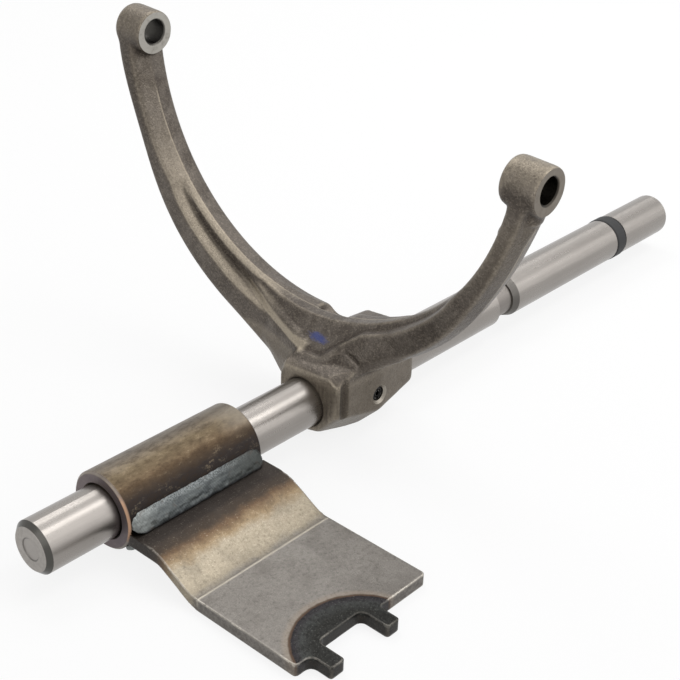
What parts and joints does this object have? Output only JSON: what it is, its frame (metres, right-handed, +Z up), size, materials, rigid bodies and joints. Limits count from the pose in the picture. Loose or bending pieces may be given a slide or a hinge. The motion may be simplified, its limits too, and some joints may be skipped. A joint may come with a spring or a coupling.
{
  "type": "gearbox shift shaft",
  "caption": "Gearbox shift rail with a forged shift fork pinned on it, and a sleeve with a welded, joggled driver plate that ends in a two-prong jaw.",
  "frame": {"origin": "centre of the near end face of the rail, on the rail axis", "axes": "+X along the rail, +Z up out of the fork and square to the flat of the driver plate, -Y towards the driver plate's jaw"},
  "size_m": [0.3845, 0.2234, 0.1427],
  "materials": {
    "ground_steel": "ground bright",
    "forged_steel": "as forged, dark scale",
    "tube_steel": "brown heat tint",
    "plate_steel": "rolled, heat tinted at the weld and at the hardened jaw",
    "weld_metal": "rippled weld",
    "pin_steel": "black oxide",
    "black_rubber": "matte"
  },
  "bodies": {
    "root": {"shift_rail": "ground_steel", "seal_ring": "black_rubber", "shift_fork": "forged_steel", "fork_pin_outer": "pin_steel", "fork_pin_inner": "pin_steel", "driver_sleeve": "tube_steel", "sleeve_pin_outer": "pin_steel", "sleeve_pin_inner": "pin_steel", "driver_plate": "plate_steel", "weld_top": "weld_metal", "weld_bottom": "weld_metal"}
  },
  "joints": []
}
